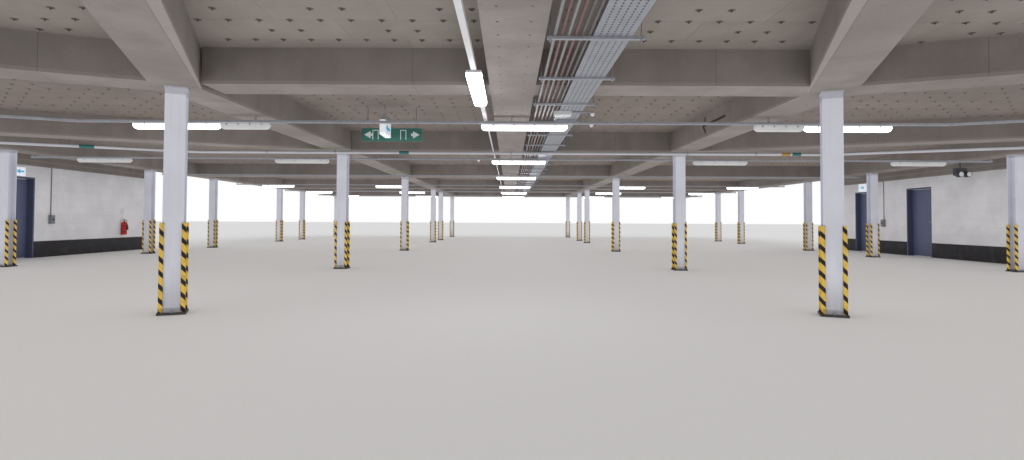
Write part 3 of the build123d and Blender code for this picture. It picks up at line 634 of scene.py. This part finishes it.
for number in range(1, 7):
    low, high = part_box(f"deck_slab_{number}")
    boards = Shape()
    first = math.floor((low.y - board_y0) / board_depth)
    last = math.ceil((high.y - board_y0) / board_depth)
    spots = []
    for course in range(first, last):
        y0 = max(low.y, board_y0 + course * board_depth) + board_gap / 2
        y1 = min(high.y, board_y0 + (course + 1) * board_depth) - board_gap / 2
        shift = board_x0 + ((course + 1) % 2) * board_length / 2
        edges = np.arange(math.floor((low.x - shift) / board_length), board_ends) * board_length + shift
        middle_y = board_y0 + (course + 0.5) * board_depth
        for edge in edges:
            x0 = max(low.x + 0.01, edge + board_gap / 2)
            x1 = min(high.x - 0.01, edge + board_length - board_gap / 2)
            if x1 - x0 > 0.1 and y1 - y0 > 0.02:
                boards.box((x0, y0, soffit_z - board_thick), (x1, y1, soffit_z), seeded.uniform())
            middle = edge + board_length / 2
            spots += [(middle + side * fixing_pitch / 2, middle_y) for side in (-1, 1)]
        across = np.arange(-fixing_ends, fixing_ends + 1) * fixing_pitch + board_x0 + board_length / 8
        spots += [(x, board_y0 + course * board_depth) for x in across]
    spots = np.array(spots)
    x, y = spots.T
    spots = spots[(np.abs(x) < high.x - edge_room) & (y > low.y + edge_room) & (y < high.y - edge_room)]
    spots = spots[clear_of_beams(spots, beam_half + fixing_room)]
    places = np.column_stack([spots, np.full(len(spots), soffit_z - board_thick)])
    in_front = high.y < row_y[1] + 0.5
    board_look, fixing_look = ("boards", "fixing") if in_front else ("brown_boards", "pale_fixing")
    boards.make(f"soffit_boards_{number}", finishes[board_look], "slab_concrete")
    Shape().copies(fixing, places).make(f"soffit_fixings_{number}", finishes[fixing_look], "galvanised")

# Two rows of screws along the soffit of the spine beam

screw = Shape().turned([(0.010, 0.0), (0.010, -0.001), (0.006, -0.003)], sides=8)
screws = Shape()
screw_x, screw_pitch = 0.125, 0.3
screw_y = np.arange(row_y[0] + 0.4, row_y[-1] - 0.3, screw_pitch)
for x in (-screw_x, screw_x):
    screws.copies(screw, [(x, y, beam_z) for y in screw_y])
screws.make("spine_screws", finishes["fixing"], "beam_concrete")

# Lamps


def cover(low, high):
    """Rounded cover under a lamp body, with its ends drawn in."""
    (x0, y0, z0), (x1, y1, z1) = low, high
    along_x = x1 - x0 > y1 - y0
    length, width, depth = max(x1 - x0, y1 - y0), min(x1 - x0, y1 - y0), z1 - z0
    middle = ((x0 + x1) / 2, (y0 + y1) / 2)
    angles = np.linspace(0, math.pi, 11)
    across = np.sign(np.cos(angles)) * np.abs(np.cos(angles)) ** 0.55 * width / 2
    down = np.abs(np.sin(angles)) ** 0.6
    radius = depth * 0.8
    offsets = [radius * (1 - math.cos(math.radians(a))) for a in range(0, 91, 15)]
    depths = [0.35 + 0.65 * math.sin(math.radians(a)) for a in range(0, 91, 15)]
    near = list(zip(offsets, depths))
    stations = near + [(length - offset, share) for offset, share in reversed(near)]
    rings = []
    for offset, share in stations:
        z = z1 - down * depth * share
        run_at = np.full(len(angles), offset - length / 2)
        ring = (run_at, across, z) if along_x else (across, run_at, z)
        rings.append(np.stack([ring[0] + middle[0], ring[1] + middle[1], ring[2]], 1))
    return Shape().loft(rings)


for kind, slot in (("lit", "diffuser_lit"), ("unlit", "diffuser_off")):
    node = f"{kind}_diffusers"
    lamp_covers = Shape()
    for low, high in solids(node):
        lamp_covers.copies(cover(low, high), [(0, 0, 0)])
    piece = lamp_covers.make(f"{kind}_covers", finishes[kind], slot, smooth=True)
    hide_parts(node)

# Foot bolts, between the guards and on both sides of the web

bolt = Shape()
bolt.turned([(0.017, 0.0), (0.017, 0.003)], sides=12)
bolt.turned([(0.0155, 0.003), (0.0155, 0.014), (0.013, 0.016)], sides=6)
bolt.turned([(0.008, 0.016), (0.008, 0.030), (0.006, 0.032)], sides=8)
bolt_y, bolt_x, plate_top = 0.1225, 0.055, 0.025
foot = Shape().copies(bolt, [(0, -bolt_y, plate_top), (0, bolt_y, plate_top), (-bolt_x, 0, plate_top),
                             (bolt_x, 0, plate_top)])
bolts = Shape()
for x, y, angle in column_places():
    bolts.copies(foot, [(x, y, 0)], [angle])
bolts.make("foot_bolts", finishes["zinc"], "plate_paint")

# Foam guards with round noses, pushed onto the flange tips

guard_foot, guard_top = plate_top, 1.0
slot_half = 0.0073
slot_end = 0.1033
lip_x, nose_x, half_depth = 0.085, 0.131, 0.025
flange_y = 0.098
nose_radius = 0.021


def guard_outline(shrink):
    """Section of a guard in X and Y about the flange, from the front lip round the nose to the rear lip."""
    reach, depth = nose_x - shrink, half_depth - shrink
    arc = [math.radians(angle) for angle in range(0, 91, 15)]
    front = [(reach - nose_radius + nose_radius * math.sin(a), -depth + nose_radius * (1 - math.cos(a)))
             for a in arc]
    lips = [(lip_x + shrink, -slot_half - 0.001), (lip_x + shrink, -depth + 0.004), (lip_x + 0.004, -depth)]
    half = lips + front
    rear = [(x, -y) for x, y in reversed(half)]
    return half + rear + [(slot_end, slot_half), (slot_end, -slot_half)]


guards = Shape()
guard_steps = np.hypot(*np.diff(guard_outline(0.0), axis=0).T)
round_guard = np.concatenate([[0], np.cumsum(guard_steps)]) + lip_x
round_guard[-2:] = round_guard[0]
guard_levels = ((guard_foot, 0.002), (guard_foot + 0.003, 0.0), (guard_top - 0.004, 0.0), (guard_top, 0.003))
for side in (-1, 1):
    rings = []
    for z, shrink in guard_levels:
        ring = np.array(guard_outline(shrink))
        rings.append(np.column_stack([side * ring[:, 0], ring[:, 1], np.full(len(ring), z)]))
    guard = Shape().loft(rings, marks=side * round_guard)
    for x, y, angle in column_places():
        for edge in (-1, 1):
            pattern = Shape().copies(guard, [(0, edge * flange_y, 0)])
            guards.copies(pattern, [(x, y, 0)], [angle])
piece = guards.make("striped_guards", finishes["guard"], "guard_foam", smooth=True)
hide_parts("corner_guards")

# Cables on the tray, held by straps, and nuts on the trapeze rods

cables = Shape()
cable_radii = (0.011, 0.014, 0.009, 0.012, 0.015, 0.010, 0.012, 0.009)
cable_stations = np.arange(tray_low.y + 0.15, tray_high.y - 0.1, 0.62)
cable_step, cable_drift, cable_gap = 0.0012, 0.003, 0.007
tray_floor = tray_low.z + 0.0025
cable_x = tray_low.x + 0.025
for radius in cable_radii:
    cable_x += radius
    drift = np.cumsum(seeded.normal(0, cable_step, len(cable_stations)))
    xs = cable_x + np.clip(drift, -cable_drift, cable_drift)
    path = np.column_stack([xs, cable_stations, np.full(len(xs), tray_floor + radius)])
    cables.tube(path, radius, 8, seeded.uniform())
    cable_x += radius + cable_gap
cables.make("tray_cables", finishes["cable"], "box_grey", smooth=True)

straps = Shape()
strap_half, strap_top = 0.006, tray_low.z + 0.0325
for station in cable_stations[::2]:
    y0, y1 = station - strap_half, station + strap_half
    straps.box((tray_low.x + 0.015, y0, strap_top - 0.0015), (tray_high.x - 0.015, y1, strap_top))
    for x in (tray_low.x + 0.0155, tray_high.x - 0.0155):
        straps.box((x - 0.0007, y0, tray_low.z + 0.002), (x + 0.0007, y1, strap_top))
straps.make("tray_straps", finishes["black"], "box_grey")

nut = Shape()
nut.turned([(0.016, 0.0), (0.016, 0.002)], sides=12)
nut.turned([(0.0095, 0.002), (0.0095, 0.010)], sides=6)
under_nut = Shape()
under_nut.turned([(0.016, -0.002), (0.016, 0.0)], sides=12)
under_nut.turned([(0.0095, -0.010), (0.0095, -0.002)], sides=6)
under_nut.turned([(0.005, -0.026), (0.005, -0.010)], sides=8)
nuts = Shape()
channels_low, channels_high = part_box("trapeze_channels")
for low, high in solids("trapeze_rods"):
    x, y = (low[:2] + high[:2]) / 2
    nuts.copies(nut, [(x, y, channels_high.z)])
    nuts.copies(under_nut, [(x, y, channels_low.z)])
nuts.make("trapeze_nuts", finishes["zinc"], "galvanised")

# Anchors where rods meet the soffit, and joint bands along the lamp trunking

anchor = Shape()
anchor.turned([(0.022, 0.0), (0.022, -0.0025), (0.0135, -0.003)], sides=12)
anchor.turned([(0.0105, -0.003), (0.0105, -0.013)], sides=6)
anchors = Shape()
for node in ("trapeze_rods", "trunking_hangers"):
    for low, high in solids(node):
        if high[2] > soffit_z - 0.02 and high[0] - low[0] < 0.05:
            x, y = (low[:2] + high[:2]) / 2
            anchors.copies(anchor, [(x, y, soffit_z - board_thick)])
anchors.make("rod_anchors", finishes["zinc"], "galvanised")

joint_bands = Shape()
joint_proud = 0.0012
for low, high in solids("lamp_trunking"):
    if high[1] - low[1] < 0.2:
        for x in np.arange(-9.0, 9.1, 3.0):
            joint_bands.box((x - 0.02, low[1] - joint_proud, low[2] - joint_proud),
                            (x + 0.02, high[1] + joint_proud, high[2] + joint_proud))
joint_bands.make("trunking_joints", finishes["zinc"], "galvanised")

# Cross pipe, smooth and round, with coloured bands

pipe_low, pipe_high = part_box("cross_pipe")
pipe_z = (pipe_low.z + pipe_high.z) / 2
pipe_radius = 0.0325
pipe_y = 13.85 - half_length
pipe_bend_x, pipe_bend_radius = 6.4, 0.2


def pipe_path(side):
    """Half of the pipe, from the middle of the hall to the outer beam, bent towards the front."""
    angle = turn[side]
    tangent = pipe_bend_radius * math.tan(angle / 2)
    centre_y = pipe_y - pipe_bend_radius
    points = [(0.0, pipe_y), (side * (pipe_bend_x - tangent), pipe_y)]
    for share in np.linspace(0.2, 1.0, 5):
        points.append((side * (pipe_bend_x - tangent + pipe_bend_radius * math.sin(angle * share)),
                       centre_y + pipe_bend_radius * math.cos(angle * share)))
    points.append((side * edge_x, pipe_y - math.tan(angle) * (edge_x - pipe_bend_x)))
    return [(x, y, pipe_z) for x, y in points]


pipe = Shape().tube(pipe_path(-1)[::-1] + pipe_path(1)[1:], pipe_radius, 24)
piece = pipe.make("round_cross_pipe", finishes["cross_pipe"], "pipe_paint", smooth=True)
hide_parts("cross_pipe")
band_spans = {"teal": ((-8.24, -8.02), (-2.29, -2.09), (5.74, 5.92)), "ochre": ((5.52, 5.7),)}
for name, spans in band_spans.items():
    bands = Shape()
    for start, end in spans:
        side = 1 if start > 0 else -1
        ends = []
        for x in (start, end):
            beyond = max(0.0, abs(x) - pipe_bend_x)
            ends.append((x, pipe_y - math.tan(turn[side]) * beyond, pipe_z))
        bands.tube(ends, pipe_radius + 0.0006, 24)
    bands.make(f"pipe_bands_{name}", finishes[name], "pipe_paint", smooth=True)

# Signs with plain arrows


def flat_shape(shape, points, depth, plane, level):
    """Adds a thin plate with the outline given, in the plane "front" (X and Z) or "side" (Y and Z)."""
    return shape.loft([[(a, offset, b) if plane == "front" else (offset, a, b) for a, b in points]
                       for offset in (level, level + depth)])


def arrow(length, height):
    """Outline of a plain arrow that points to the left, about its middle."""
    head, half, stem = height * 0.9, height / 2, height * 0.17
    tip = -length / 2
    return [(tip, 0), (tip + head, -half), (tip + head, -stem), (length / 2, -stem), (length / 2, stem),
            (tip + head, stem), (tip + head, half)]


board_low, board_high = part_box("sign_board")
board_middle = (board_low.x + board_high.x) / 2
board_z = board_low.z + sign_board_height / 2
board_marks = Shape()
mark_depth = 0.002
board_face = board_low.y - mark_depth
board_arrow_x = 0.39
door_outline = ((-0.05, -0.038, -0.08, 0.08), (0.038, 0.05, -0.08, 0.08), (-0.038, 0.038, 0.068, 0.08))
for side, door_x in ((-1, -0.27), (1, 0.19)):
    points = [(board_middle + side * (board_arrow_x - x), board_z + z) for x, z in arrow(0.14, 0.12)]
    flat_shape(board_marks, points, mark_depth, "front", board_face)
    for x0, x1, z0, z1 in door_outline:
        board_marks.box((board_middle + door_x + x0, board_face, board_z + z0),
                        (board_middle + door_x + x1, board_low.y, board_z + z1))
board_marks.make("sign_board_marks", finishes["white"], "sign_white")

box_low, box_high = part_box("sign_box")
box_middle = ((box_low.y + box_high.y) / 2, box_low.z + sign_box_height / 2)
sign_faces = Shape()
for x, depth in ((box_high.x, mark_depth), (box_low.x, -mark_depth)):
    points = [(y + box_middle[0], z + box_middle[1]) for y, z in arrow(0.30, 0.15)]
    flat_shape(sign_faces, points, depth, "side", x)
sign_faces.make("sign_box_arrows", finishes["cyan"], "sign_white")

for name, side in (("left", -1), ("right", 1)):
    faces = Shape()
    for low, high in solids("wall_sign"):
        if (low[0] > 0) == (side > 0):
            face_x = low[0] if side > 0 else high[0]
            points = [(y + (low[1] + high[1]) / 2, z + (low[2] + high[2]) / 2) for y, z in arrow(0.24, 0.13)]
            flat_shape(faces, points, -side * mark_depth, "side", face_x)
    faces.make(f"wall_sign_arrow_{name}", finishes["cyan"], "sign_white")

# Plain painted arrow on the inner face of the right line beam

painted_face, painted_y, painted_z = 3.344, 11.65 - half_length, 2.70
painted_length, barb, stroke = 1.05, 0.15, 0.038
tip = -painted_length / 2
upper = [(tip + barb, barb), (tip + barb + 0.7 * stroke, barb - 0.7 * stroke),
         (tip + 1.9 * stroke, stroke / 2), (painted_length / 2, stroke / 2)]
points = [(tip, 0)] + upper + [(y, -z) for y, z in reversed(upper)]
beam_arrow = flat_shape(Shape(), [(painted_y - y, painted_z + z) for y, z in points], -mark_depth, "side",
                        painted_face)
beam_arrow.make("beam_arrow", finishes["mark"], "beam_concrete")

# Box and sensors under the tray and the lamp trunking

junction_y, junction_x0, junction_x1, junction_z = 9.58 - half_length, 0.54, 0.765, 2.398
lead_z, lead_end_x, lead_radius = 2.4435, 1.045, 0.009
sensor_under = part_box("lamp_trunking")[0].z
sensor_places = ((1.115, 10.2 - half_length, sensor_under), (-0.73, 15.0 - half_length, sensor_under),
                 (1.04, junction_y, lead_z - lead_radius))


def rounded_box(low, high, radius=0.006):
    """A box whose upright edges and lower rim are rounded."""
    (x0, y0, z0), (x1, y1, z1) = low, high
    angles = np.radians(np.arange(0, 360, 22.5))
    rings = []
    for inset, z in ((radius, z0), (radius * 0.3, z0 + radius * 0.3), (0.0, z0 + radius), (0.0, z1)):
        xs = np.where(np.cos(angles) > 0, x1 - radius, x0 + radius) + np.cos(angles) * (radius - inset)
        ys = np.where(np.sin(angles) > 0, y1 - radius, y0 + radius) + np.sin(angles) * (radius - inset)
        rings.append(np.column_stack([xs, ys, np.full(len(angles), z)]))
    return Shape().loft(rings)


junction = rounded_box((junction_x0, junction_y - 0.05, junction_z),
                       (junction_x1, junction_y + 0.05, tray_low.z))
junction.copies(rounded_box((junction_x0 + 0.012, junction_y - 0.04, junction_z - 0.004),
                            (junction_x1 - 0.012, junction_y + 0.04, junction_z), 0.004), [(0, 0, 0)])
junction.make("junction_box", finishes["trunking"], "trunking_white")
lead = Shape()
lead.tube([(junction_x1 - 0.002, junction_y, lead_z), (lead_end_x, junction_y, lead_z)], lead_radius)
lead_x = junction_x0 + 0.05
lead.tube([(lead_x, junction_y, lead_z), (lead_x, junction_y + 0.6, lead_z)], lead_radius)
lead.make("sensor_conduit", finishes["zinc"], "galvanised", smooth=True)
sensors = Shape()
sensor_profile = [(0.030, 0.0), (0.030, -0.012), (0.024, -0.018), (0.022, -0.030), (0.014, -0.038),
                  (0.004, -0.041)]
for place in sensor_places:
    sensors.turned(sensor_profile, place, sides=20)
sensors.make("ceiling_sensors", finishes["trunking"], "trunking_white", smooth=True)

# Clips that hold the pipes on each channel

saddles = Shape()
lanes = 6
saddle_half, saddle_outer, saddle_inner = 0.011, 0.0140, 0.0127
saddle_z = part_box("service_pipes")[0].z + 0.0125
arc = [math.radians(angle) for angle in range(-20, 201, 20)]
saddle = [(radius * math.cos(a), radius * math.sin(a))
          for radius, angles in ((saddle_outer, arc), (saddle_inner, arc[::-1])) for a in angles]
for low, high in solids("trapeze_channels"):
    y = (low[1] + high[1]) / 2
    for lane in range(lanes):
        x = first_lane + (lane + 0.5) * lane_pitch
        saddles.loft([[(x + across, y + along, saddle_z + up) for across, up in saddle]
                      for along in (saddle_half, -saddle_half)])
saddles.make("pipe_saddles", finishes["zinc"], "galvanised")

# Clips along the lamp covers

latch = Shape().box((-0.009, -0.003, -0.012), (0.009, 0.0, 0.014))
latches = Shape()
for node in ("lit_diffusers", "unlit_diffusers"):
    for low, high in solids(node):
        along_x = high[0] - low[0] > high[1] - low[1]
        middle = (low + high) / 2
        length = max(high[:2] - low[:2])
        width = min(high[:2] - low[:2])
        for share in (-0.36, -0.12, 0.12, 0.36):
            for edge in (-1, 1):
                off = edge * (width / 2 + 0.0005)
                step = (share * length, off) if along_x else (off, share * length)
                place = (middle[0] + step[0], middle[1] + step[1], high[2])
                angle = (0 if edge < 0 else math.pi) + (0 if along_x else -math.pi / 2)
                latches.copies(latch, [place], [angle])
latches.make("lamp_clips", finishes["steel"], "lamp_body")

# Extinguisher: valve, levers, rigid horn, straps and its plate on the wall

ext_low, ext_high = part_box("extinguisher")
ext_x, ext_y, ext_top = (ext_low.x + ext_high.x) / 2, (ext_low.y + ext_high.y) / 2, ext_high.z
wall_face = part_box("left_wall")[1].x
lever_half = 0.012
valve = Shape()
lever_x0, lever_x1 = ext_x - lever_half, ext_x + lever_half
valve.turned([(0.026, -0.032), (0.026, -0.006), (0.018, 0.004)], (ext_x, ext_y, ext_top))
valve.box((lever_x0, ext_y - 0.095, ext_top + 0.002), (lever_x1, ext_y + 0.02, ext_top + 0.006))
lever_line = ((-0.11, 0.034), (-0.02, 0.014), (0.018, 0.006))
valve.loft([[(lever_x0, y, z), (lever_x1, y, z), (lever_x1, y, z + 0.004), (lever_x0, y, z + 0.004)]
            for y, z in ((ext_y + along, ext_top + up) for along, up in lever_line)])
valve.turned([(0.016, -0.03), (0.016, -0.044), (0.013, -0.046)], (ext_x, ext_y, ext_top - 0.018), "y")
valve.make("extinguisher_valve", finishes["steel"], "lever_steel")
horn = Shape()
horn_line = ((0.02, -0.02), (0.062, -0.022), (0.083, -0.045), (0.087, -0.12), (0.087, -0.17))
horn.tube([(ext_x + out, ext_y, ext_top + up) for out, up in horn_line], 0.009)
horn_profile = [(0.030, -0.33), (0.030, -0.32), (0.012, -0.17), (0.009, -0.16)]
horn.turned(horn_profile, (ext_x + 0.106, ext_y, ext_top), sides=20)
for z in (0.62, 0.80):
    horn.turned([(0.0765, -0.012), (0.0765, 0.012)], (ext_x, ext_y, z), sides=32)
horn.make("extinguisher_horn", finishes["black"], "box_grey", smooth=True)
plate = Shape().box((wall_face, ext_y - 0.09, 1.18), (wall_face + 0.003, ext_y + 0.09, 1.37))
plate.make("extinguisher_plate", finishes["sheet"], "extinguisher_red")

# Wall boxes: covers, knobs and conduit clips

box_covers, knobs, conduit_clips = Shape(), Shape(), Shape()
wall_box_height = 0.23
cover_depth, cover_inset = 0.004, 0.006
clip_reach, clip_half, clip_height, clip_pitch = 0.0235, 0.018, 0.014, 0.42
knob_profile = ((0.026, 0.0), (0.026, 0.003), (0.019, 0.004), (0.018, 0.014), (0.012, 0.017))
for low, high in solids("wall_boxes"):
    side = 1 if low[0] > 0 else -1
    face = low[0] if side > 0 else high[0]
    front = face - side * cover_depth
    middle_y, box_top = (low[1] + high[1]) / 2, low[2] + wall_box_height
    box_covers.box((min(front, face), low[1] + cover_inset, low[2] + cover_inset),
                   (max(front, face), high[1] - cover_inset, box_top - cover_inset))
    knobs.turned([(radius, -side * height) for radius, height in knob_profile],
                 (front, middle_y, low[2] + wall_box_height / 2), "x", sides=20)
    inner, outer = sorted((side * (wall_face_x - clip_reach), side * wall_face_x))
    for z in np.arange(box_top + 0.12, high[2] - 0.05, clip_pitch):
        conduit_clips.box((inner, middle_y - clip_half, z), (outer, middle_y + clip_half, z + clip_height))
box_covers.make("wall_box_covers", finishes["grey"], "box_grey")
knobs.make("wall_box_knobs", finishes["black"], "box_grey", smooth=True)
conduit_clips.make("conduit_clips", finishes["zinc"], "galvanised")

# Lenses and rims of the twin spot

spot_half, spot_z = 0.095, 2.19
lenses, rims = Shape(), Shape()
spot_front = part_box("twin_spot")[0].y
for side in (-1, 1):
    centre = (edge_x + side * spot_half, spot_front, spot_z)
    lenses.turned([(0.030, -0.010), (0.052, -0.008), (0.058, -0.005)], centre, "y", sides=28)
    rims.turned([(0.060, -0.005), (0.068, -0.005), (0.0705, 0.0), (0.0705, 0.012)], centre, "y", sides=28)
lenses.make("spot_lenses", finishes["glass"], "box_grey", smooth=True)
rims.make("spot_rims", finishes["black"], "box_grey", smooth=True)

# Stage, lights and camera

floor_mesh = bpy.data.meshes.new("floor")
floor_mesh.from_pydata([(-200, -200, 0), (200, -200, 0), (200, 200, 0), (-200, 200, 0)], [], [(0, 1, 2, 3)])
floor_mesh.materials.append(Finish("floor_pale", (0.8, 0.8, 0.8), 0.9).material)
floor_object = bpy.data.objects.new("floor", floor_mesh)
bpy.context.scene.collection.objects.link(floor_object)
floor_object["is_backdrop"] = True


def sheet_light(name, place, size, radiance, facing=(0, 0, -1)):
    """A large soft light that gives even light. It doesn't show itself."""
    data = bpy.data.lights.new(name, "AREA")
    data.shape, data.size, data.size_y = "RECTANGLE", size[0], size[1]
    data.energy = radiance * math.pi * size[0] * size[1]
    light = bpy.data.objects.new(name, data)
    light.location = place
    light.rotation_euler = Vector(facing).to_track_quat("-Z", "Y").to_euler()
    light.visible_camera = light.visible_glossy = False
    bpy.context.scene.collection.objects.link(light)


sheet_light("sheet_up", (0, 0, 0.05), (24, 37), 0.45, (0, 0, 1))
sheet_light("sheet_down", (0, 0, 2.44), (24, 37), 0.45, (0, 0, -1))

# The world shows white to the camera, in gloss and through glass, and lights the hall a little less.
world = bpy.data.worlds.new("studio")
bpy.context.scene.world = world
world.use_nodes = True
tree = world.node_tree
ray = tree.nodes.new("ShaderNodeLightPath").outputs
shown = ray["Is Camera Ray"]
for kind in ("Is Glossy Ray", "Is Transmission Ray"):
    either = tree.nodes.new("ShaderNodeMath")
    either.operation = "MAXIMUM"
    tree.links.new(shown, either.inputs[0])
    tree.links.new(ray[kind], either.inputs[1])
    shown = either.outputs[0]
strength = tree.nodes.new("ShaderNodeMapRange")
strength.inputs["To Min"].default_value = 0.85
tree.links.new(shown, strength.inputs["Value"])
tree.links.new(strength.outputs[0], tree.nodes["Background"].inputs["Strength"])
tree.nodes["Background"].inputs["Color"].default_value = (1, 1, 1, 1)

camera_data = bpy.data.cameras.new("camera")
camera_data.sensor_width = 36
camera_data.lens = 19.91
camera_data.shift_x, camera_data.shift_y = 0.0035, -0.0233
camera_data.clip_start, camera_data.clip_end = 0.05, 500
camera = bpy.data.objects.new("camera", camera_data)
camera.location = (-0.027, -16.463, 1.046)
camera.rotation_euler = (math.radians(91.42), math.radians(-0.28), math.radians(0.11))
bpy.context.scene.collection.objects.link(camera)
bpy.context.scene.camera = camera
bpy.context.scene.view_settings.view_transform = "Standard"

low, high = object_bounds()
